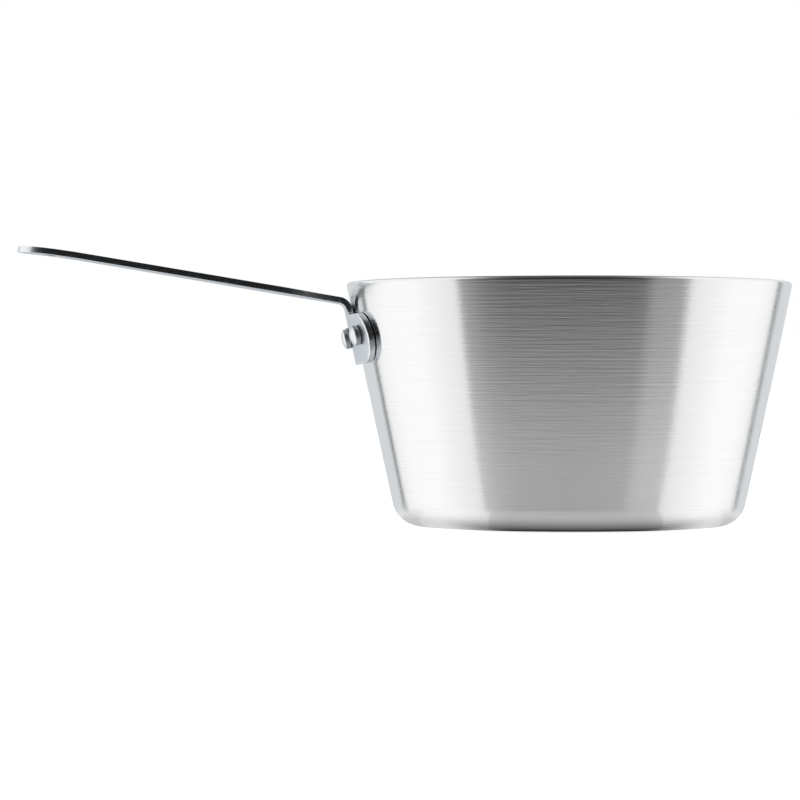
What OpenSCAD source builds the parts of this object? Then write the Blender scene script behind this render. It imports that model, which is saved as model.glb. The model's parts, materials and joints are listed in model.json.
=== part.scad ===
// Tapered melting pot with a riveted strip handle.
// The origin is the middle of the base on the resting plane. Z is up, and the handle points along -X.

/* [Pot] */
// Outside diameter at the rim
rim_d = 165; // [150:1:180]
// Height from the resting plane to the rim
pot_h = 90; // [80:1:100]
// Angle between the wall and the vertical
wall_lean = 11.9; // [9:0.1:14]
// Thickness of the wall and the base
wall_t = 3; // [2:0.1:4]
// Outside radius of the bottom corner
corner_r = 10.5; // [8:0.5:14]
// Radius that breaks the rim's two edges
rim_edge_r = 1.1; // [0.5:0.1:1.4]

/* [Handle] */
// Thickness of the strip
strip_t = 2.3; // [1.8:0.1:3]
// Height of the foot, along the wall
foot_h = 18.6; // [17:0.2:22]
// Width of the foot, measured round the wall
foot_w = 56; // [52:1:64]
// Height of the foot's middle above the resting plane
foot_z = 69.1; // [60:0.1:72]
// Space between the foot and the wall
foot_gap = 0.4; // [0.3:0.1:0.6]
// Width of the neck that the bend is made in
neck_w = 17; // [14:0.5:22]
// Radius of the corners between the neck and the foot
neck_fillet = 2; // [1:0.5:2]
// Distance along the wall from the foot's middle to the bend
bend_up = 11.4; // [11.4:0.2:14]
// Inside radius of the bend
bend_r = 3; // [2:0.5:5]
// Slope of the grip above the horizontal
grip_slope = 9.5; // [6:0.5:14]
// Width of the grip where it is widest
grip_w = 26; // [22:1:30]
// Width of the grip at its rounded end
tip_w = 22; // [18:1:24]
// Length over which the neck widens into the grip
flare_l = 22; // [15:1:30]
// Length over which the grip's end curls down
curl_l = 23; // [20:1:30]
// Radius of that curl
curl_r = 240; // [200:10:600]
// Distance from the pot's axis to the end of the grip
reach = 203; // [180:1:220]
// Diameter of the hanging hole
hang_d = 8; // [6:0.5:9]
// Distance from the end of the grip to the middle of the hanging hole
hang_in = 12; // [10:1:16]

/* [Rivets] */
// Distance between two rivets, measured round the wall
rivet_pitch = 18.6; // [17:0.2:20]
// How far the two outer rivets sit above the foot's middle
rivet_up = 1.3; // [0:0.1:2]
// How far the middle rivet sits above the foot's middle
mid_rivet_up = 0.7; // [0:0.1:2]
// Diameter of the shank
shank_d = 6; // [5:0.5:6]
// Diameter of the outside button
button_d = 7.2; // [6.5:0.1:8]
// Height of the straight side of the outside button
button_side = 2.2; // [1.5:0.1:2.5]
// Height of the dome on the outside button
button_dome = 1.2; // [0.8:0.1:1.6]
// Diameter of the head inside the pot
head_d = 11; // [9:0.5:12]
// Height of the head inside the pot
head_h = 1.7; // [1:0.1:2.2]

/* [Hidden] */
$fn = 96;
// radius of the outer cone where it would meet the resting plane
cone_r = rim_d / 2 - pot_h * tan(wall_lean);
// distance from the cone's apex to the middle of the foot, along the wall
foot_l = (cone_r + foot_z * tan(wall_lean)) / sin(wall_lean);
// from the pot's wall to the foot's outer face
foot_out = foot_gap + strip_t;
// the neck and the bend are flat, and lie this much deeper than the curved foot's middle, so that
// their edges stand out from the foot no more than its middle stands out from them
neck_sink = pow(neck_w / 2, 2) / (4 * cone_at(foot_z));
neck_in = foot_gap - neck_sink;
// how far the flat neck runs down into the foot
neck_lap = 3;
// from the foot's middle to the middle of each round end, and how much higher the ends are
ear_s = (foot_w - foot_h) / 2;
ear_step = 0.15;
// the middle of the bend, in the plane of the handle: distance from the pot's axis, and height
bend_x = cone_r + foot_z * tan(wall_lean) + bend_up * sin(wall_lean)
    + (neck_in + strip_t + bend_r) * cos(wall_lean);
bend_z = foot_z + bend_up * cos(wall_lean) - (neck_in + strip_t + bend_r) * sin(wall_lean);
// how far the curl lowers the end of the grip
curl_drop = curl_r - sqrt(pow(curl_r, 2) - pow(curl_l, 2));
// from the bend to the end of the grip, along the strip
grip_l = (reach - bend_x) / cos(grip_slope) + (bend_r + strip_t / 2 - curl_drop) * tan(grip_slope);

// radius of the pot's outer cone at height z
function cone_at(z) = cone_r + z * tan(wall_lean);

// turn round the pot's axis of a point on the flat blank of the foot, s sideways and h up the wall
function blank_turn(s, h) = atan2(s, foot_l + h) / sin(wall_lean);

// height on the wall of the same point
function blank_z(s, h) =
    foot_z + (norm([s, foot_l + h]) - foot_l) * cos(wall_lean);

// puts its children on the wall: z points straight out of the wall, and x up it
module on_wall(s, h) {
    z = blank_z(s, h);
    rotate([0, 0, 180 + blank_turn(s, h)])
        translate([cone_at(z), 0, z])
            rotate([0, 90 + wall_lean, 0])
                mirror([1, 0, 0]) children();
}

// puts its children on the grip: x runs along the strip to its end, and z 0 is the underside
module on_grip() {
    translate([-bend_x, 0, bend_z])
        rotate([0, grip_slope, 0])
            translate([0, 0, bend_r]) mirror([1, 0, 0]) children();
}

// the filled profile of the pot, offset inwards by t
module pot_profile(t) {
    r = corner_r - t;
    top = pot_h + 5;
    flat_x = cone_r - corner_r * (1 - sin(wall_lean)) / cos(wall_lean);
    side = r * [cos(wall_lean), -sin(wall_lean)];
    polygon([
        [0, t], [flat_x, t], [flat_x, corner_r], [flat_x, corner_r] + side,
        [cone_at(top) - t / cos(wall_lean), top], [0, top]
    ]);
    translate([flat_x, corner_r]) circle(r);
}

// the rim's cross-section, in the wall's own direction, with both edges rounded and its top at pot_h
module rim_profile() {
    r = rim_edge_r;
    band = 8;
    over = (wall_t - r) * sin(wall_lean) + r * (1 - cos(wall_lean));
    translate([rim_d / 2, pot_h]) rotate(-wall_lean) translate([0, -over / cos(wall_lean)]) {
        translate([-wall_t, -band]) square([wall_t, band - r]);
        translate([r - wall_t, -r - 1]) square([wall_t - 2 * r, r + 1]);
        for (x = [r - wall_t, -r]) translate([x, -r]) circle(r);
    }
}

module pot_body() {
    color([0.80, 0.81, 0.82]) difference() {
        rotate_extrude($fn = 180) {
            difference() {
                pot_profile(0);
                pot_profile(wall_t);
                translate([0, pot_h - 6]) square([rim_d, 20]);
            }
            rim_profile();
        }
        rivet_places() cylinder(d = shank_d, h = 20, center = true);
    }
}

// its children at each rivet
module rivet_places() {
    on_wall(0, mid_rivet_up) children();
    for (side = [-1, 1]) on_wall(side * rivet_pitch, rivet_up) children();
}

// the shell of the cone that the foot is cut from
module foot_shell() {
    low = foot_z - foot_h;
    high = foot_z + foot_h;
    rotate([0, 0, 150]) rotate_extrude(angle = 60, $fn = 180) {
        polygon([
            for (p = [[foot_gap, low], [foot_out, low], [foot_out, high], [foot_gap, high]])
                [cone_at(p[1]), p[1]] + p[0] * [cos(wall_lean), -sin(wall_lean)]
        ]);
    }
}

// the foot between its two round ends, in the wall's plane: x is up the wall, and y is sideways
module foot_outline() {
    half = cone_at(foot_z) * sin(blank_turn(ear_s, 0));
    top = foot_h / 2 - ear_step;
    translate([-top, -half]) square([2 * top, 2 * half]);
    translate([0, -neck_w / 2]) square([top + neck_fillet, neck_w]);
    for (side = [-1, 1]) {
        difference() {
            translate([top, side * (neck_w + neck_fillet) / 2])
                square([2 * neck_fillet, neck_fillet], center = true);
            translate([top + neck_fillet, side * (neck_w / 2 + neck_fillet)])
                circle(neck_fillet);
        }
    }
}

module foot() {
    intersection() {
        foot_shell();
        union() {
            on_wall(0, 0) linear_extrude(30, center = true) foot_outline();
            for (side = [-1, 1]) on_wall(side * ear_s, 0) cylinder(d = foot_h, h = 30, center = true);
        }
    }
}

// everything below a line that comes up the neck, bends round the origin at radius r, runs out along
// the grip and curls down a little at its end; over lengthens it at both ends. The straight lines
// start a hair inside the circle, so that the two cross cleanly.
module under_strip(r, over) {
    flat_r = r - 0.005;
    up = [sin(wall_lean), cos(wall_lean)];
    out = [cos(wall_lean), -sin(wall_lean)];
    along = [cos(grip_slope), sin(grip_slope)];
    above = [-sin(grip_slope), cos(grip_slope)];
    neck_end = -flat_r * out - (neck_lap + over) * up;
    curl_middle = (bend_r - curl_r) * above + (grip_l - curl_l) * along;
    curl_turn = (curl_l + 2 + over) / curl_r * 180 / PI;
    curl_steps = 8;
    curl = [
        for (i = [curl_steps:-1:0]) let (a = curl_turn * i / curl_steps)
            curl_middle + (curl_r + flat_r - bend_r) * (cos(a) * above + sin(a) * along)
    ];
    polygon(concat(
        [[0, 0], -flat_r * out, neck_end, neck_end + (15 + over) * out],
        [curl[0] - (15 + over) * above], curl, [flat_r * above]
    ));
    circle(r);
}

// half the width of the strip at a distance u from the bend
function strip_half(u) =
    u < 0 ? neck_w / 2
    : u < flare_l ? neck_w / 2 + (grip_w - neck_w) / 4 * (1 - cos(180 * u / flare_l))
    : grip_w / 2 - (grip_w - tip_w) / 2 * (u - flare_l) / (grip_l - flare_l - tip_w / 2);

// the neck and the grip seen square to the grip
module strip_outline() {
    last = grip_l - tip_w / 2;
    stops = [-20, for (i = [0:8]) flare_l * i / 8, last];
    polygon(concat(
        [for (u = stops) [u, strip_half(u)]],
        [for (i = [len(stops) - 1:-1:0]) [stops[i], -strip_half(stops[i])]]
    ));
    translate([last, 0]) circle(d = tip_w);
}

// the flat strip: the top of the neck, the bend and the grip
module strip() {
    intersection() {
        translate([-bend_x, 0, bend_z]) rotate([90, 0, 0]) mirror([1, 0, 0])
            linear_extrude(grip_w + 2, center = true) difference() {
                under_strip(bend_r + strip_t, 0);
                under_strip(bend_r, 6);
            }
        on_grip() translate([0, 0, -40]) linear_extrude(60) strip_outline();
    }
}

module handle() {
    color([0.62, 0.65, 0.68]) difference() {
        union() {
            foot();
            strip();
        }
        rivet_places() cylinder(d = shank_d, h = 20, center = true);
        on_grip() translate([grip_l - hang_in, 0, -5]) cylinder(d = hang_d, h = 20);
    }
}

// one rivet on the wall, with its button outside and its head inside
module rivet(s, h) {
    button_r = (pow(button_d / 2, 2) + pow(button_dome, 2)) / (2 * button_dome);
    head_r = (pow(head_d / 2, 2) + pow(head_h, 2)) / (2 * head_h);
    color([0.74, 0.75, 0.76]) on_wall(s, h) {
        translate([0, 0, -wall_t - head_h / 2]) cylinder(d = shank_d, h = wall_t + foot_out + head_h);
        translate([0, 0, foot_out]) intersection() {
            cylinder(d = button_d, h = button_side + button_dome);
            translate([0, 0, button_side + button_dome - button_r]) sphere(button_r);
        }
        translate([0, 0, -wall_t]) intersection() {
            mirror([0, 0, 1]) cylinder(d = head_d, h = head_h);
            translate([0, 0, head_r - head_h]) sphere(head_r);
        }
    }
}

pot_body();
handle();
rivet(rivet_pitch, rivet_up);  // rivet_near
rivet(0, mid_rivet_up);  // rivet_middle
rivet(-rivet_pitch, rivet_up);  // rivet_far
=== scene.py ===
"""Looks for a tapered aluminium melting pot with a riveted strip handle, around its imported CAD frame.

The frame's origin is the middle of the pot's base. Z is up, the handle points along -X, and lengths
are in metres.
"""

import json
import math

import bmesh
import bpy
from mathutils import Matrix, Vector

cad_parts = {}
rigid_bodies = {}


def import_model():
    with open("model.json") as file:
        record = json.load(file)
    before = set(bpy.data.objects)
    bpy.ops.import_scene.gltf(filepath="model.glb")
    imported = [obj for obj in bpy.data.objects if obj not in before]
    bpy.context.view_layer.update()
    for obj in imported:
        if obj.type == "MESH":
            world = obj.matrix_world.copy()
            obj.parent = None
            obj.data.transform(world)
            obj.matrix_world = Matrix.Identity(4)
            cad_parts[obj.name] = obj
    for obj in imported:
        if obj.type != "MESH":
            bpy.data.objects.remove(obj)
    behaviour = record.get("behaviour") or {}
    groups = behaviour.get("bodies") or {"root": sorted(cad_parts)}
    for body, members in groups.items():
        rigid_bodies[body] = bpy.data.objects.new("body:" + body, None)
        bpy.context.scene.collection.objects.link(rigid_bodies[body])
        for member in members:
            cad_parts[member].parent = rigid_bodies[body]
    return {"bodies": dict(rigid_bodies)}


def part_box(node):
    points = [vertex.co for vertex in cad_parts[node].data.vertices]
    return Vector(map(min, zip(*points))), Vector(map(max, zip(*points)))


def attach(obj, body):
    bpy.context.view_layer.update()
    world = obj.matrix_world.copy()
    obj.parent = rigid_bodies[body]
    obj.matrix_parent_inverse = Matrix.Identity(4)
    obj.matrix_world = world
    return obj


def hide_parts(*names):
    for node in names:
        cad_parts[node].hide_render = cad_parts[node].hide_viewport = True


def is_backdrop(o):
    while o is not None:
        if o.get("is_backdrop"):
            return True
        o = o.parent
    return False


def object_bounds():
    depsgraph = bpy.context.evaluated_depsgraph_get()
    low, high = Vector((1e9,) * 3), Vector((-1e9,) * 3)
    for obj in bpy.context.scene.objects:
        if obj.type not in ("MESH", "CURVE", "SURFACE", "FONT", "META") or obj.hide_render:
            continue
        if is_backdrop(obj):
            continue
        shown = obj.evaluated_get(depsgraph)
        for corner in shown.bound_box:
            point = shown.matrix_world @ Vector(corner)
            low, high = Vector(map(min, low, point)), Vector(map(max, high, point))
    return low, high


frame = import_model()
cad_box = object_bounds()

MM = 0.001

# The pot, as in part.scad.
POT_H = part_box("pot_body")[1][2]
RIM_R = 82.5 * MM  # the wall's outer cone at the rim's height
LEAN = math.radians(11.9)  # between the wall and the vertical
WALL_T = 3 * MM
CORNER_R = 10.5 * MM
RIM_EDGE_R = 1.1 * MM

# The handle, as in part.scad.
STRIP_T = 2.3 * MM
FOOT_H = 18.6 * MM
FOOT_W = 56 * MM
FOOT_Z = 69.1 * MM
FOOT_GAP = 0.4 * MM
NECK_W = 17 * MM
NECK_FILLET = 2 * MM
BEND_UP = 11.4 * MM
BEND_R = 3 * MM
GRIP_SLOPE = math.radians(9.5)
GRIP_W = 26 * MM
TIP_W = 22 * MM
FLARE_L = 22 * MM
CURL_L = 23 * MM
CURL_R = 240 * MM
REACH = -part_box("handle")[0][0]  # to the lower edge of the grip's end
HANG_R = 4 * MM
HANG_IN = 12 * MM

# The rivets, as in part.scad.
RIVET_PITCH = 18.6 * MM
RIVET_UP = 1.3 * MM
MID_RIVET_UP = 0.7 * MM
SHANK_R = 3 * MM
BUTTON_R = 3.6 * MM
BUTTON_SIDE = 2.2 * MM
BUTTON_DOME = 1.2 * MM
HEAD_R = 5.5 * MM
HEAD_H = 1.7 * MM

# Small shapes that the looks have and part.scad doesn't.
WALL_BOW = 0.15 * MM  # how far the drawn wall swells between its ends
ROLL_W = 0.9 * MM  # the die has rolled the strip's faces down this far in from the cut edges
ROLL_DEEP = 0.12 * MM  # and by this much at the edge itself
FLATTEN = 2.5 * MM  # the curved foot starts to go over into the flat neck this far below its top
NECK_SIDE = 1 * MM  # and is flat out to this far beside the neck
HEAD_BED = 0.25 * MM  # the rivet's head reaches this far into the curved wall
BUTTON_BED = 0.35 * MM  # and its button this far into the curved foot
BUTTON_EDGE = 0.13 * MM  # the small radius between the button's side and its dome
SEAT_RING = 0.45 * MM  # height of the corner between a button and the foot, whose lower part is painted dark as shade
SEAT_LOW = 0.15 * MM  # where its slope starts
SEAT_IN = 0.25 * MM  # and how far it is cut in from the button's side

# The meshes: the steps round the pot and a rivet, the distance at which points are joined, and the bands
# that the flat blank is cut into before it is bent.
POT_STEPS = 288
RIVET_STEPS = 64
JOIN = 1e-6
FOOT_BAND = 1.1 * MM
BEND_BAND = 0.45 * MM
BEND_BEFORE = 3 * MM  # the fine bands start this far before the bend
BEND_AFTER = 1 * MM  # and go on this far after it
GRIP_BAND = 8 * MM
GRIP_BAND_END = 2 * MM  # the grip's bands keep this far from its ends
SIDE_BAND = 0.9 * MM

# How nearly a face of the blank points straight out of it.
FLAT_FACE = 0.999  # the strip's flat faces, at least
CUT_FACE = 0.35  # the cut edges, at most

# The finish, where it changes along a piece.
DULL_FROM = 11 * MM  # the brushing is duller in the pot's bottom corner, from this height
DULL_FULL = 5 * MM  # fully so at this one
DULL_OUTSIDE = 50 * MM  # and only outside this radius
TIP_LIGHT_FROM = -185 * MM  # the cut edge is painted brighter, as a highlight, from here along X
TIP_LIGHT_FULL = -200 * MM  # up to here, just before the grip's end

# The camera: how far it is turned from the handle's side view, how far off, how high and how far towards
# the handle it stands, the height that it looks at, and its lens in millimetres.
CAMERA_TURN = math.radians(-3.5)
CAMERA_FAR = 1.25
CAMERA_Z = 0.051
CAMERA_SIDE = -0.0625
CAMERA_TARGET_Z = 0.0465
CAMERA_LENS = 151.8

# Worked out from the dimensions above.
CONE_R = RIM_R - POT_H * math.tan(LEAN)
FOOT_L = (CONE_R + FOOT_Z * math.tan(LEAN)) / math.sin(LEAN)
FOOT_OUT = FOOT_GAP + STRIP_T
NECK_IN = FOOT_GAP - (NECK_W / 2) ** 2 / (4 * (CONE_R + FOOT_Z * math.tan(LEAN)))
BEND_TURN = math.pi / 2 - LEAN - GRIP_SLOPE
BEND_L = (BEND_R + STRIP_T / 2) * BEND_TURN
EAR_S = (FOOT_W - FOOT_H) / 2
# Up the wall and straight out of it, in the handle's plane: distance from the pot's axis, height.
UP = Vector((math.sin(LEAN), math.cos(LEAN)))
OUT = Vector((math.cos(LEAN), -math.sin(LEAN)))
WALL_AT_FOOT = Vector((CONE_R + FOOT_Z * math.tan(LEAN), FOOT_Z))
BEND_CENTRE = WALL_AT_FOOT + UP * BEND_UP + OUT * (NECK_IN + STRIP_T + BEND_R)
ALONG = Vector((math.cos(GRIP_SLOPE), math.sin(GRIP_SLOPE)))
ABOVE = Vector((-math.sin(GRIP_SLOPE), math.cos(GRIP_SLOPE)))
CURL_DROP = CURL_R - math.sqrt(CURL_R**2 - CURL_L**2)
GRIP_L = (REACH - BEND_CENTRE.x) / ALONG.x + (BEND_R - CURL_DROP) * math.tan(GRIP_SLOPE)


def cone_at(z):
    """Radius of the pot's outer cone at height z."""
    return CONE_R + z * math.tan(LEAN)


def smooth(low, high, x):
    """0 below low, 1 above high, and an S-curve between."""
    t = min(max((x - low) / (high - low), 0), 1)
    return t * t * (3 - 2 * t)


def arc(centre, radius, start, end, steps):
    """Points on a circle from angle start to angle end, in degrees."""
    angles = [math.radians(start + (end - start) * i / steps) for i in range(steps + 1)]
    return [(centre[0] + radius * math.cos(a), centre[1] + radius * math.sin(a)) for a in angles]


# ---------------------------------------------------------------- meshes


def lathe(name, profile, segments):
    """A closed mesh turned about Z from a profile of (radius, height) that starts and ends on the axis."""
    mesh = bmesh.new()
    rings = []
    for radius, height in profile:
        if radius < 1e-7:
            rings.append([mesh.verts.new((0, 0, height))])
            continue
        turns = [2 * math.pi * i / segments for i in range(segments)]
        rings.append([mesh.verts.new((radius * math.cos(a), radius * math.sin(a), height)) for a in turns])
    for low, high in zip(rings, rings[1:]):
        for i in range(segments):
            j = (i + 1) % segments
            corners = [low[i % len(low)], low[j % len(low)], high[j % len(high)], high[i % len(high)]]
            mesh.faces.new(list(dict.fromkeys(corners)))
    bmesh.ops.recalc_face_normals(mesh, faces=mesh.faces)
    return finished(name, mesh)


def finished(name, mesh):
    """Turns a bmesh into a smooth-shaded object."""
    data = bpy.data.meshes.new(name)
    mesh.to_mesh(data)
    mesh.free()
    data.shade_smooth()
    piece = bpy.data.objects.new(name, data)
    bpy.context.scene.collection.objects.link(piece)
    return piece


def pot_wall(inset, low, high, steps):
    """Points up one side of the wall, inset from the outer cone, with the drawn wall's slight swell."""
    points = []
    for i in range(steps + 1):
        z = low + (high - low) * i / steps
        bow = WALL_BOW * math.sin(math.pi * (z - low) / (high - low))
        points.append((cone_at(z) - inset / math.cos(LEAN) + bow, z))
    return points


def pot_profile():
    """The pot's whole section, from the middle of its underside round the rim to the middle of its floor."""
    lean = math.degrees(LEAN)
    centre = (CONE_R - CORNER_R * (1 - math.sin(LEAN)) / math.cos(LEAN), CORNER_R)
    tangent_z = CORNER_R * (1 - math.sin(LEAN))
    inner_tangent_z = CORNER_R - (CORNER_R - WALL_T) * math.sin(LEAN)
    over = (WALL_T - RIM_EDGE_R) * math.sin(LEAN) + RIM_EDGE_R * (1 - math.cos(LEAN))
    rim = Vector((RIM_R, POT_H)) - UP * over / math.cos(LEAN)
    outer_edge = rim - OUT * RIM_EDGE_R - UP * RIM_EDGE_R
    inner_edge = rim - OUT * (WALL_T - RIM_EDGE_R) - UP * RIM_EDGE_R
    outer_top = (outer_edge + OUT * RIM_EDGE_R).y
    inner_top = (inner_edge - OUT * RIM_EDGE_R).y
    flat = centre[0]
    return (
        [(0, 0)]
        + [(flat * i / 12, 0) for i in range(1, 12)]
        + arc(centre, CORNER_R, -90, -lean, 28)
        + pot_wall(0, tangent_z, outer_top, 40)[1:-1]
        + arc(outer_edge, RIM_EDGE_R, -lean, 90 - lean, 10)
        + arc(inner_edge, RIM_EDGE_R, 90 - lean, 180 - lean, 10)
        + pot_wall(WALL_T, inner_tangent_z, inner_top, 40)[-2:0:-1]
        + arc(centre, CORNER_R - WALL_T, -lean, -90, 20)
        + [(flat * i / 12, WALL_T) for i in range(11, 0, -1)]
        + [(0, WALL_T)]
    )


def strip_half(u):
    """Half the strip's width at a distance u along the grip."""
    if u < 0:
        return NECK_W / 2
    if u < FLARE_L:
        return NECK_W / 2 + (GRIP_W - NECK_W) / 4 * (1 - math.cos(math.pi * u / FLARE_L))
    return GRIP_W / 2 - (GRIP_W - TIP_W) / 2 * (u - FLARE_L) / (GRIP_L - FLARE_L - TIP_W / 2)


def blank_outline():
    """The flat blank's outline as (up the wall, sideways) from the middle of the foot."""
    start = BEND_UP + BEND_L
    last = GRIP_L - TIP_W / 2
    corner = (FOOT_H / 2 + NECK_FILLET, NECK_W / 2 + NECK_FILLET)
    tapers = [last + (FLARE_L - last) * i / 8 for i in range(1, 8)]
    flares = [FLARE_L * i / 24 for i in range(24, -1, -1)]
    half = arc((start + last, 0), TIP_W / 2, 0, 90, 28)
    half += [(start + u, strip_half(u)) for u in tapers + flares]
    half += arc(corner, NECK_FILLET, -90, -180, 10)
    half += arc((0, EAR_S), FOOT_H / 2, 0, 180, 56)
    return half + [(h, -s) for h, s in reversed(half[1:])]


def circle_points(h, s, radius, steps=40):
    """A hole in the blank."""
    return arc((h, s), radius, 0, 360 * (steps - 1) / steps, steps - 1)


def blank_curve(loops):
    """The blank as a filled flat curve with round edges: local x is up the wall, and y is sideways.

    It is made ROLL_W / ROLL_DEEP times too thick, because a curve's edges can only be rounded evenly.
    """
    curve = bpy.data.curves.new("blank", "CURVE")
    curve.dimensions = "2D"
    curve.fill_mode = "BOTH"
    curve.extrude = STRIP_T / 2 * ROLL_W / ROLL_DEEP - ROLL_W
    curve.bevel_depth = ROLL_W
    curve.bevel_resolution = 1
    curve.offset = -ROLL_W
    for loop in loops:
        spline = curve.splines.new("POLY")
        spline.points.add(len(loop) - 1)
        for point, (h, s) in zip(spline.points, loop):
            point.co = (h, s, 0, 1)
        spline.use_cyclic_u = True
    return curve


def on_cone(h, s, w):
    """Where the blank's point comes to lie when it is wrapped round the wall."""
    reach = math.hypot(s, FOOT_L + h)
    turn = math.atan2(s, FOOT_L + h) / math.sin(LEAN)
    z = FOOT_Z + (reach - FOOT_L) * math.cos(LEAN)
    radius = cone_at(z) + (FOOT_GAP + w) * math.cos(LEAN)
    z -= (FOOT_GAP + w) * math.sin(LEAN)
    return Vector((-radius * math.cos(turn), -radius * math.sin(turn), z))


def on_strip(h, s, w):
    """Where the blank's point comes to lie up the flat neck, round the bend and along the grip."""
    run = h - BEND_UP
    if run <= 0:
        point = WALL_AT_FOOT + UP * h + OUT * (NECK_IN + w)
    elif run < BEND_L:
        turn = run / (BEND_R + STRIP_T / 2)
        point = BEND_CENTRE + (UP * math.sin(turn) - OUT * math.cos(turn)) * (BEND_R + STRIP_T - w)
    else:
        along = run - BEND_L
        radius = CURL_R + STRIP_T - w
        curl = max(along - (GRIP_L - CURL_L), 0)
        drop = radius - math.sqrt(radius**2 - curl**2)
        point = BEND_CENTRE + ABOVE * (BEND_R + STRIP_T - w - drop) + ALONG * along
    return Vector((-point.x, -s, point.y))


def bent(h, s, w):
    """The blank's point on the finished handle: the curved foot goes over into the flat neck."""
    if h > BEND_UP:
        return on_strip(h, s, w)
    beside = smooth(NECK_W / 2 + NECK_SIDE, NECK_W, abs(s))
    flat = smooth(FOOT_H / 2 - FLATTEN, BEND_UP, h) * (1 - beside)
    return on_cone(h, s, w).lerp(on_strip(h, s, w), flat)


def handle_mesh():
    """The strip handle: a flat blank with rounded edges, cut into narrow bands and bent to shape."""
    start = BEND_UP + BEND_L
    loops = [blank_outline(), circle_points(start + GRIP_L - HANG_IN, 0, HANG_R)]
    loops += [circle_points(h, s, SHANK_R, 32) for h, s in rivet_places()]
    flat = bpy.data.objects.new("blank", blank_curve(loops))
    bpy.context.scene.collection.objects.link(flat)
    mesh = bmesh.new()
    mesh.from_mesh(flat.evaluated_get(bpy.context.evaluated_depsgraph_get()).to_mesh())
    bpy.data.objects.remove(flat)
    mesh.transform(Matrix.Scale(ROLL_DEEP / ROLL_W, 4, (0, 0, 1)))
    bmesh.ops.remove_doubles(mesh, verts=mesh.verts, dist=JOIN)
    bend_bands = int((BEND_L + BEND_BEFORE + BEND_AFTER) / BEND_BAND)
    grip_bands = int((GRIP_L - 2 * GRIP_BAND_END) / GRIP_BAND)
    side_bands = int(FOOT_W / 2 / SIDE_BAND) + 1
    rows = [-FOOT_H / 2 + FOOT_BAND * i for i in range(1, int(FOOT_H / FOOT_BAND) + 1)]
    rows += [BEND_UP - BEND_BEFORE + BEND_BAND * i for i in range(bend_bands)]
    rows += [start + GRIP_BAND_END + GRIP_BAND * i for i in range(grip_bands)]
    columns = [SIDE_BAND * i for i in range(-side_bands, side_bands + 1)]
    cuts = [((h, 0, 0), (1, 0, 0)) for h in rows] + [((0, s, 0), (0, 1, 0)) for s in columns]
    for place, direction in cuts:
        bmesh.ops.bisect_plane(
            mesh,
            geom=mesh.verts[:] + mesh.edges[:] + mesh.faces[:],
            dist=JOIN,
            plane_co=place,
            plane_no=direction,
        )
    bmesh.ops.recalc_face_normals(mesh, faces=mesh.faces)
    for face in mesh.faces:
        tilt = abs(face.normal.z)
        face.material_index = 1 if tilt < CUT_FACE else 2 if tilt < FLAT_FACE else 0
    for vertex in mesh.verts:
        h, s, w = vertex.co
        vertex.co = bent(h, s, w + STRIP_T / 2)
    bmesh.ops.recalc_face_normals(mesh, faces=mesh.faces)
    piece = finished("handle_strip", mesh)
    weigh = piece.modifiers.new("weighted normals", "WEIGHTED_NORMAL")
    weigh.weight = 60
    return piece


def rivet_places():
    """The three rivets on the blank, from the camera's side to the far side."""
    return [(RIVET_UP, RIVET_PITCH), (MID_RIVET_UP, 0), (RIVET_UP, -RIVET_PITCH)]


def rivet_profile():
    """The rivet's section: the low head inside the pot, the shank, and the upset button outside."""
    head_ball = (HEAD_R**2 + HEAD_H**2) / (2 * HEAD_H)
    head_open = math.degrees(math.asin(HEAD_R / head_ball))
    dome_ball = (BUTTON_R**2 + BUTTON_DOME**2) / (2 * BUTTON_DOME)
    dome_open = math.degrees(math.asin(BUTTON_R / dome_ball))
    inside = -WALL_T
    seat = FOOT_OUT - BUTTON_BED
    crown = FOOT_OUT + BUTTON_SIDE + BUTTON_DOME
    edge = BUTTON_EDGE
    head = arc((0, inside - HEAD_H + head_ball), head_ball, -90, -90 + head_open, 14)
    dome = arc((0, crown - dome_ball), dome_ball, 90 - dome_open + 2, 90, 16)
    shoulder = arc((BUTTON_R - edge, FOOT_OUT + BUTTON_SIDE - edge * 0.6), edge, 0, 50, 4)
    return (
        [(0, inside - HEAD_H)]
        + head[1:]
        + [(HEAD_R, inside + HEAD_BED), (SHANK_R, inside + HEAD_BED), (SHANK_R, seat)]
        + [(BUTTON_R - SEAT_IN, seat), (BUTTON_R - SEAT_IN, FOOT_OUT + SEAT_LOW)]
        + [(BUTTON_R, FOOT_OUT + SEAT_RING)]
        + shoulder
        + dome[:-1]
        + [(0, crown)]
    )


def wall_matrix(h, s):
    """Puts a piece on the wall at a place on the blank, with its Z straight out of the wall."""
    reach = math.hypot(s, FOOT_L + h)
    turn = math.atan2(s, FOOT_L + h) / math.sin(LEAN)
    z = FOOT_Z + (reach - FOOT_L) * math.cos(LEAN)
    spin = Matrix.Rotation(math.pi + turn, 4, "Z")
    return spin @ Matrix.Translation((cone_at(z), 0, z)) @ Matrix.Rotation(math.pi / 2 + LEAN, 4, "Y")


def rivet_mesh(name, h, s):
    """One rivet, in its place in the wall, with its corner marked off for painted shade and its straight
    side marked off for a scuffed finish painted darker as shade.
    """
    piece = lathe(name, rivet_profile(), RIVET_STEPS)
    # the faces from the foot up to here beside the button get the painted shade
    shade_below = FOOT_OUT + 0.75 * SEAT_RING
    for face in piece.data.polygons:
        low = 0 < face.center.z < shade_below
        side = face.center.z > 0 and abs(face.normal.z) < 0.5
        face.material_index = 2 if low else 1 if side else 0
    piece.data.transform(wall_matrix(h, s))
    piece.data.set_sharp_from_angle(angle=math.radians(50))
    return piece


# ---------------------------------------------------------------- materials


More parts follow.
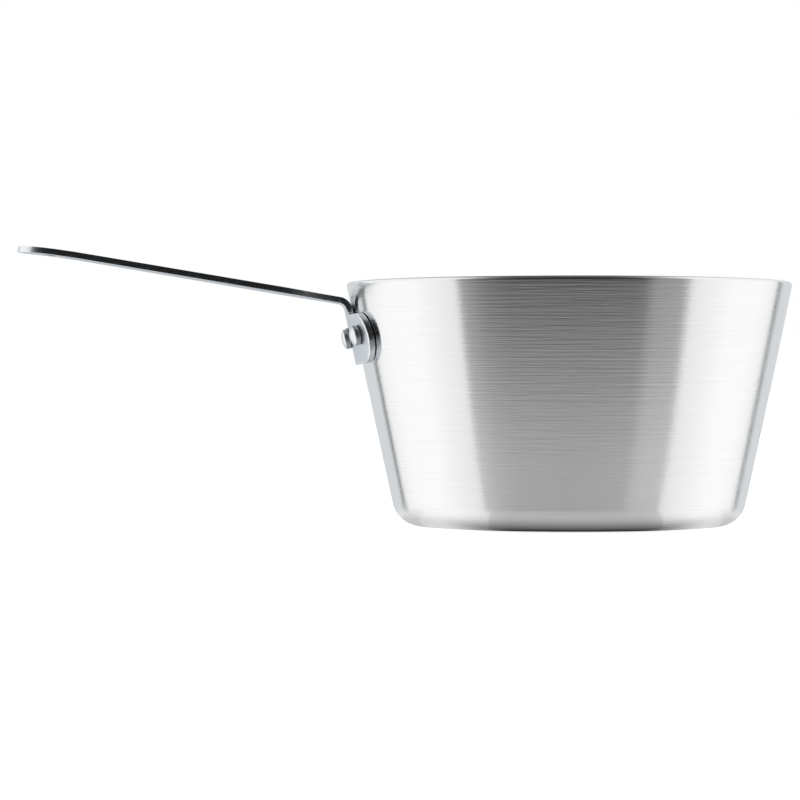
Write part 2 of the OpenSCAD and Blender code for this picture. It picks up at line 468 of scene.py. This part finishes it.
class Nodes:
    """A short way to write a node tree."""

    def __init__(self, owner):
        owner.use_nodes = True
        self.tree = owner.node_tree
        self.tree.nodes.clear()

    def add(self, kind, inputs=(), **settings):
        """Makes a node. inputs maps a socket's name or number to a number, a colour or another socket."""
        made = self.tree.nodes.new("ShaderNode" + kind)
        for name, setting in settings.items():
            setattr(made, name, setting)
        for name, given in dict(inputs).items():
            if isinstance(given, bpy.types.NodeSocket):
                self.tree.links.new(given, made.inputs[name])
            else:
                made.inputs[name].default_value = given
        return made

    def math(self, operation, a, b=0.0, clamp=False):
        """The result of one math node."""
        return self.add("Math", {0: a, 1: b}, operation=operation, use_clamp=clamp).outputs[0]

    def dot(self, vector, axis):
        """How far a vector reaches along an axis."""
        return self.add("VectorMath", {0: vector, 1: axis}, operation="DOT_PRODUCT").outputs["Value"]

    def noise(self, where, scale, detail, roughness=0.5):
        """Noise from 0 to 1 at a place."""
        inputs = {"Vector": where, "Scale": scale, "Detail": detail, "Roughness": roughness}
        return self.add("TexNoise", inputs).outputs["Fac"]

    def surface(self, colour, level, rough, bump, more=()):
        """Ends the tree in a surface, metallic unless more says not. bump is strength, depth and height."""
        strength, depth, height = bump
        raised = self.add("Bump", {"Strength": strength, "Distance": depth, "Height": height})
        inputs = {
            "Base Color": tinted(self, colour, level),
            "Metallic": 1.0,
            "Roughness": rough,
            "Normal": raised.outputs[0],
        }
        shader = self.add("BsdfPrincipled", {**inputs, **dict(more)})
        self.add("OutputMaterial", {0: shader.outputs[0]})

    def ramp(self, factor, stops):
        """A colour ramp: stops is a list of (place, colour)."""
        made = self.add("ValToRGB", {0: factor})
        elements = made.color_ramp.elements
        while len(elements) < len(stops):
            elements.new(1)
        for element, (place, level) in zip(elements, stops):
            element.position = place
            element.color = (*level, 1) if hasattr(level, "__len__") else (level, level, level, 1)
        return made.outputs[0]

    def spread(self, value, low, high):
        """Maps 0 to 1 onto low to high."""
        return self.add("MapRange", {"Value": value, "To Min": low, "To Max": high}).outputs[0]


def tinted(nodes, colour, level):
    """The colour with its brightness multiplied by level."""
    return nodes.add("VectorMath", {0: colour, "Scale": level}, operation="SCALE").outputs[0]


def new_material(name):
    """A material, its node tree and the place it is shaded at."""
    material = bpy.data.materials.new(name)
    nodes = Nodes(material)
    return material, nodes, nodes.add("TexCoord").outputs["Object"]


def pot_aluminium():
    """Drawn aluminium, brushed round the pot: fine lines that follow the wall, the base and the floor."""
    material, nodes, place = new_material("pot_aluminium")
    x, y, z = nodes.add("SeparateXYZ", {0: place}).outputs
    squares = nodes.math("ADD", nodes.math("MULTIPLY", x, x), nodes.math("MULTIPLY", y, y))
    radius = nodes.math("SQRT", squares)
    climb = nodes.math("ADD", z, radius)

    def lines(length, width, detail):
        """Noise stretched round the pot, with marks of about that length and width in metres."""
        where = nodes.add(
            "CombineXYZ",
            {
                0: nodes.math("DIVIDE", x, length),
                1: nodes.math("DIVIDE", y, length),
                2: nodes.math("DIVIDE", climb, width),
            },
        )
        return nodes.noise(where.outputs[0], 1, detail, roughness=0.6)

    fine = lines(32 * MM, 0.8 * MM, 3)
    hair = lines(60 * MM, 0.3 * MM, 1)
    broad = lines(40 * MM, 1.5 * MM, 3)
    cloud = nodes.noise(place, 18, 3)
    level = nodes.math("ADD", nodes.spread(fine, 0.96, 1.04), nodes.spread(broad, -0.01, 0.01))
    level = nodes.math("ADD", level, nodes.spread(cloud, -0.012, 0.012))
    level = nodes.math("ADD", level, nodes.spread(hair, -0.03, 0.03))
    rough = nodes.math("ADD", nodes.spread(broad, 0.165, 0.185), nodes.spread(fine, -0.02, 0.02))
    low = nodes.add("MapRange", {"Value": z, "From Min": DULL_FROM, "From Max": DULL_FULL}).outputs[0]
    corner = nodes.math("MULTIPLY", low, nodes.math("GREATER_THAN", radius, DULL_OUTSIDE))
    rough = nodes.math("ADD", rough, nodes.math("MULTIPLY", corner, 0.1))
    height = nodes.math("ADD", fine, nodes.math("MULTIPLY", broad, 0.2))
    tangent = nodes.add("Tangent", direction_type="RADIAL", axis="Z").outputs[0]
    brushed = {"Anisotropic": 1.0, "Anisotropic Rotation": 0.25, "Tangent": tangent}
    nodes.surface((0.905, 0.91, 0.915), level, rough, (1.0, 0.08 * MM, height), brushed)
    return material


def plated_steel():
    """Satin zinc plate on the strip's faces, with faint rolling marks and a slight mottle."""
    material, nodes, place = new_material("plated_steel")
    mottle = nodes.noise(place, 220, 4)
    grain = nodes.noise(place, 2600, 2)
    level = nodes.math("ADD", nodes.spread(mottle, 0.93, 1.05), nodes.spread(grain, -0.03, 0.03))
    bump = (0.3, 0.02 * MM, nodes.math("ADD", mottle, grain))
    nodes.surface((0.77, 0.82, 0.87), level, nodes.spread(mottle, 0.36, 0.46), bump)
    return material


def sheared_steel():
    """The strip's cut edges: a burnished cut with faint tears, painted brighter at the grip's end as a
    highlight.
    """
    material, nodes, place = new_material("sheared_steel")
    stretch = (1 / (4 * MM), 1 / (0.5 * MM), 1 / (0.5 * MM))
    drawn = nodes.add("VectorMath", {0: place, 1: stretch}, operation="MULTIPLY").outputs[0]
    tears = nodes.noise(drawn, 1, 4)
    along = nodes.add("SeparateXYZ", {0: place}).outputs[0]
    # up to half as bright again towards the grip's end: painted highlight
    end = {"Value": along, "From Min": TIP_LIGHT_FROM, "From Max": TIP_LIGHT_FULL, "To Min": 1, "To Max": 1.5}
    tip_highlight = nodes.add("MapRange", end).outputs[0]
    level = nodes.math("MULTIPLY", nodes.spread(tears, 0.75, 1.15), tip_highlight)
    nodes.surface((0.58, 0.61, 0.64), level, nodes.spread(tears, 0.05, 0.4), (0.4, 0.03 * MM, tears))
    return material


def rolled_and_highlit_steel():
    """The narrow strip beside each cut edge that the die has rolled down and burnished smoother, painted
    brighter than the face as a highlight.
    """
    material, nodes, place = new_material("rolled_and_highlit_steel")
    scuffs = nodes.noise(place, 900, 3)
    level = nodes.spread(scuffs, 0.95, 1.03)
    # a brighter colour than the plated face: painted highlight along the rolled edge
    nodes.surface((0.92, 0.94, 0.96), level, nodes.spread(scuffs, 0.22, 0.34), (0.2, 0.02 * MM, scuffs))
    return material


def rivet_aluminium():
    """Soft aluminium, upset in a die: satin, with small dents and slightly duller in patches."""
    material, nodes, place = new_material("rivet_aluminium")
    dents = nodes.noise(place, 500, 3)
    grain = nodes.noise(place, 3000, 2)
    bump = (0.35, 0.04 * MM, nodes.math("ADD", nodes.math("MULTIPLY", dents, 2), grain))
    level = nodes.spread(dents, 0.93, 1.04)
    nodes.surface((0.88, 0.885, 0.89), level, nodes.spread(grain, 0.28, 0.4), bump)
    return material


def shaded_rivet_side():
    """The rivet's straight side, scuffed dull by the die that upset it, and painted darker than the dome as
    shade.
    """
    material, nodes, place = new_material("shaded_rivet_side")
    scuffs = nodes.noise(place, 1400, 4)
    level = nodes.spread(scuffs, 0.8, 1.15)
    # the colour is half the dome's: painted shade on the side, with scuffed roughness
    nodes.surface((0.44, 0.45, 0.46), level, nodes.spread(scuffs, 0.32, 0.5), (0.4, 0.03 * MM, scuffs))
    return material


def painted_seat_shade():
    """Painted shade: a dark, rough, non-metal colour in the corner round a rivet's button, where shade
    falls.
    """
    material, nodes, place = new_material("painted_seat_shade")
    crust = nodes.noise(place, 1800, 3)
    level = nodes.spread(crust, 0.6, 1.5)
    bump = (0.5, 0.04 * MM, crust)
    # the near-black colour is painted shade in the corner round the button
    nodes.surface((0.03, 0.034, 0.036), level, nodes.spread(crust, 0.6, 0.85), bump, {"Metallic": 0.0})
    return material


# ---------------------------------------------------------------- stage

# The studio round the object, by angle from the camera's side in degrees: a dark room behind the camera,
# a white screen on each side, and a light grey backdrop with a dark gap between it and each screen.
FRONT = Vector((math.sin(CAMERA_TURN), -math.cos(CAMERA_TURN), 0))
RIGHT = Vector((-FRONT.y, FRONT.x, 0))
FRONT_EDGE = 63
LEFT_SCREEN = 138
RIGHT_SCREEN = 135
# The dark room behind the camera is a little brighter on the right: pairs of angle and grey level.
LEFT_INSIDE = [(0, 0.02), (15, 0.03), (35, 0.05), (48, 0.12)]
RIGHT_INSIDE = [(0, 0.02), (15, 0.03), (35, 0.06), (39, 0.08), (43, 0.27)]
BACKDROP = (0.71, 0.735, 0.75)
# Higher up, by how steeply a direction climbs, from 0 for level to 1 for straight up: where the upper wall
# at the back takes over, and where the ceiling does.
UPPER_FROM, UPPER_FULL = 0.15, 0.4
CEILING_FROM, CEILING_FULL = 0.82, 0.93
CEILING = (0.1, 0.11, 0.12, 1)
# The upper wall is dark in its middle and light at its sides: pairs of sideways reach and grey level.
UPPER_WALL = [(0.1, 0.15), (0.3, 0.97)]

# The stage's sheets, just under the pot, one below the other.
FLOOR_R = 40
FLOOR_Z = -0.2 * MM
GAP_R = 75 * MM
GAP_Z = -0.3 * MM
TABLE_R = 0.6
TABLE_Z = -0.4 * MM
TABLE_BACK = 20 * MM  # its straight back edge is this far in front of the pot's middle
TABLE_BACK_HALF = 55 * MM  # and reaches this far to each side
# The table's dark part starts this far in front of the pot's middle and to the left of it, and is this
# much narrower than the room's.
TABLE_START = 41.5 * MM
TABLE_LEFT = 4 * MM
TABLE_NARROW = 0.975
# The painted light on the table sheet along its middle: pairs of distance, as a part of TABLE_FADE, and grey
# level.
TABLE_FADE = 0.4
TABLE_MIDDLE = [(0.15, 0.7), (0.22, 0.81), (0.3, 0.88), (0.5, 0.69), (0.68, 0.36), (0.85, 0.05)]
# The gap under the pot has a painted shadow out to the first radius and none from the second. Where the
# shadow is, it gets lighter to the sides: from the first part of a place's distance that is sideways, up to
# the second.
GAP_DARK_R, GAP_OPEN_R = 57.2 * MM, 66.8 * MM
BESIDE_FROM, BESIDE_FULL = 0.4, 0.8

# The lamp overhead.
LAMP_Z = 2.2
LAMP_SIZE = 2.4
LAMP_POWER = 30


def studio_side(inside, screen_edge):
    """One side of the studio, from straight ahead to the backdrop: pairs of angle and grey level."""
    return inside + [
        (FRONT_EDGE - 0.5, 0.34),
        (FRONT_EDGE + 0.5, 0.86),
        (FRONT_EDGE + 30, 1.06),
        (screen_edge - 20, 1.06),
        (screen_edge - 0.5, 0.95),
        (screen_edge, 0.12),
        (screen_edge + 2.5, 0.24),
        (screen_edge + 6.5, BACKDROP),
        (180, [0.88 * level for level in BACKDROP]),
    ]


def studio_level(nodes, direction, narrow=1.0):
    """The studio's light by a direction's angle from straight in front. narrow scales its angles."""
    turn = nodes.math("ARCTAN2", nodes.dot(direction, RIGHT), nodes.dot(direction, FRONT))
    angle = nodes.math("DIVIDE", nodes.math("ABSOLUTE", turn), math.pi * narrow)
    sides = [studio_side(LEFT_INSIDE, LEFT_SCREEN), studio_side(RIGHT_INSIDE, RIGHT_SCREEN)]
    left, right = [nodes.ramp(angle, [(degrees / 180, level) for degrees, level in side]) for side in sides]
    is_right = nodes.math("GREATER_THAN", turn, 0.0)
    return nodes.add("Mix", {"Factor": is_right, "A": left, "B": right}, data_type="RGBA").outputs["Result"]


def studio_world():
    """The studio as the world: the walls, the upper wall at the back, and a dark ceiling.

    The camera itself sees only plain white behind the object.
    """
    world = bpy.data.worlds.new("studio")
    bpy.context.scene.world = world
    nodes = Nodes(world)
    direction = nodes.add("TexCoord").outputs["Generated"]
    around = studio_level(nodes, direction)
    height = nodes.add("SeparateXYZ", {0: direction}).outputs[2]
    raised = nodes.add("MapRange", {"Value": height, "From Min": UPPER_FROM, "From Max": UPPER_FULL})
    behind = nodes.math("LESS_THAN", nodes.dot(direction, FRONT), 0.0)
    upper_back = nodes.math("MULTIPLY", raised.outputs[0], behind)
    upper_wall = nodes.ramp(nodes.math("ABSOLUTE", nodes.dot(direction, RIGHT)), UPPER_WALL)
    walls = nodes.add("Mix", {"Factor": upper_back, "A": around, "B": upper_wall}, data_type="RGBA")
    top = nodes.add("MapRange", {"Value": height, "From Min": CEILING_FROM, "From Max": CEILING_FULL})
    under_ceiling = {"Factor": top.outputs[0], "A": walls.outputs["Result"], "B": CEILING}
    seen = nodes.add("Mix", under_ceiling, data_type="RGBA")
    room = nodes.add("Background", {"Color": seen.outputs["Result"], "Strength": 1.0})
    backdrop = nodes.add("Background", {"Color": (1, 1, 1, 1), "Strength": 1.0})
    is_camera = nodes.add("LightPath").outputs["Is Camera Ray"]
    both = nodes.add("MixShader", {0: is_camera, 1: room.outputs[0], 2: backdrop.outputs[0]})
    nodes.add("OutputWorld", {0: both.outputs[0]})


def stage_sheet(name, points, z):
    """A flat stage piece with the given outline."""
    mesh = bmesh.new()
    mesh.faces.new([mesh.verts.new((x, y, z)) for x, y in points])
    piece = finished(name, mesh)
    piece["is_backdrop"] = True
    return piece


def glow_only_in_metal(piece, level):
    """Makes a stage sheet that only reflections can see, with a glow that level works out from its nodes."""
    for ray in ("camera", "diffuse", "transmission", "volume_scatter", "shadow"):
        setattr(piece, "visible_" + ray, False)
    material = bpy.data.materials.new(piece.name)
    nodes = Nodes(material)
    glow = nodes.add("Emission", {"Color": level(nodes), "Strength": 1.0})
    nodes.add("OutputMaterial", {0: glow.outputs[0]})
    piece.data.materials.append(material)


def floor():
    """The pale floor that the camera sees. Reflections show the two sheets below instead."""
    piece = stage_sheet("floor", arc((0, 0), FLOOR_R, 0, 356, 89), FLOOR_Z)
    piece.visible_glossy = False
    material = bpy.data.materials.new("floor")
    nodes = Nodes(material)
    paper = nodes.add("BsdfDiffuse", {"Color": (0.86, 0.86, 0.86, 1)})
    glow = nodes.add("Emission", {"Color": (1, 1, 1, 1), "Strength": 0.8})
    both = nodes.add("AddShader", {0: paper.outputs[0], 1: glow.outputs[0]})
    nodes.add("OutputMaterial", {0: both.outputs[0]})
    piece.data.materials.append(material)


def painted_table_light(nodes):
    """A painted reflection of the table in front of the pot: pale near it, then darkening towards the
    camera, and white at the sides.
    """
    place = nodes.add("TexCoord").outputs["Object"]
    start = FRONT * TABLE_START - RIGHT * TABLE_LEFT
    offset = nodes.add("VectorMath", {0: place, 1: start}, operation="SUBTRACT").outputs[0]
    around = studio_level(nodes, offset, TABLE_NARROW)
    length = nodes.add("VectorMath", {0: place}, operation="LENGTH").outputs["Value"]
    near = nodes.ramp(nodes.math("DIVIDE", length, TABLE_FADE), TABLE_MIDDLE)
    lighter = nodes.add("Mix", {"A": around, "B": near}, data_type="RGBA", blend_type="LIGHTEN")
    return lighter.outputs["Result"]


def gap_shadow_level(nodes):
    """Under and round the pot's base: as bright as the studio, with a painted shadow only under the front.
    """
    place = nodes.add("TexCoord").outputs["Object"]
    length = nodes.add("VectorMath", {0: place}, operation="LENGTH").outputs["Value"]
    sideways = nodes.math("DIVIDE", nodes.math("ABSOLUTE", nodes.dot(place, RIGHT)), length)
    turned = {"Value": sideways, "From Min": BESIDE_FROM, "From Max": BESIDE_FULL}
    beside = nodes.add("MapRange", turned).outputs[0]
    around = nodes.math("MAXIMUM", studio_level(nodes, place, 0.5), nodes.spread(beside, 0.58, 0.82))
    # dark inside the first radius: painted shadow under the pot, seen only in the metal
    outside = {"Value": length, "From Min": GAP_DARK_R, "From Max": GAP_OPEN_R}
    out_of_shadow = nodes.add("MapRange", outside).outputs[0]
    return nodes.math("MULTIPLY", around, nodes.math("MAXIMUM", out_of_shadow, nodes.spread(beside, 0, 0.75)))


def table():
    """What the metal reflects below: glowing sheets with painted light, the lit table in front of the pot
    and the shadow in the gap under it.
    """
    back = [(TABLE_BACK_HALF, -TABLE_BACK), (-TABLE_BACK_HALF, -TABLE_BACK)]
    front = arc((0, 0), TABLE_R, -160, -20, 40) + back
    glow_only_in_metal(stage_sheet("table_front", front, TABLE_Z), painted_table_light)
    gap = arc((0, 0), GAP_R, 0, 356, 89)
    glow_only_in_metal(stage_sheet("gap_under", gap, GAP_Z), gap_shadow_level)


def lamps():
    """A large soft lamp overhead."""
    lamp = bpy.data.lights.new("overhead", "AREA")
    lamp.shape = "DISK"
    lamp.size = LAMP_SIZE
    lamp.energy = LAMP_POWER
    overhead = bpy.data.objects.new("overhead", lamp)
    overhead.location = (0, 0, LAMP_Z)
    overhead.visible_glossy = False
    bpy.context.scene.collection.objects.link(overhead)


def camera():
    """The camera, at the pot's height and moved a little towards the handle."""
    data = bpy.data.cameras.new("camera")
    data.lens = CAMERA_LENS
    data.sensor_width = 36
    data.clip_start = 0.05
    data.clip_end = 200
    turn = Matrix.Rotation(CAMERA_TURN, 3, "Z")
    eye = turn @ Vector((CAMERA_SIDE, -CAMERA_FAR, CAMERA_Z))
    target = turn @ Vector((CAMERA_SIDE, 0, CAMERA_TARGET_Z))
    made = bpy.data.objects.new("camera", data)
    made.location = eye
    made.rotation_euler = (target - eye).to_track_quat("-Z", "Y").to_euler()
    bpy.context.scene.collection.objects.link(made)
    bpy.context.scene.camera = made


# ---------------------------------------------------------------- assembly


def build():
    """Makes every visible piece, hides the CAD node that it stands for, and fixes it to the body."""
    body = next(iter(frame["bodies"]))
    pot = lathe("pot", pot_profile(), POT_STEPS)
    pot.data.materials.append(pot_aluminium())
    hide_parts("pot_body")
    handle = handle_mesh()
    handle.data.materials.append(plated_steel())
    handle.data.materials.append(sheared_steel())
    handle.data.materials.append(rolled_and_highlit_steel())
    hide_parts("handle")
    pieces = [pot, handle]
    satin = rivet_aluminium()
    scuffed_and_shaded = shaded_rivet_side()
    # painted shade for the corner round each button
    seat_shade = painted_seat_shade()
    for node, (h, s) in zip(("rivet_near", "rivet_middle", "rivet_far"), rivet_places()):
        rivet = rivet_mesh(node + "_button", h, s)
        rivet.data.materials.append(satin)
        rivet.data.materials.append(scuffed_and_shaded)
        rivet.data.materials.append(seat_shade)
        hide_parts(node)
        pieces.append(rivet)
    for piece in pieces:
        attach(piece, body)


bpy.context.scene.view_settings.view_transform = "Standard"
build()
camera()
studio_world()
floor()
table()
lamps()

boxes = {"cad": cad_box, "visual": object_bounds()}
boxes = {name: [[float(v) for v in corner] for corner in box] for name, box in boxes.items()}
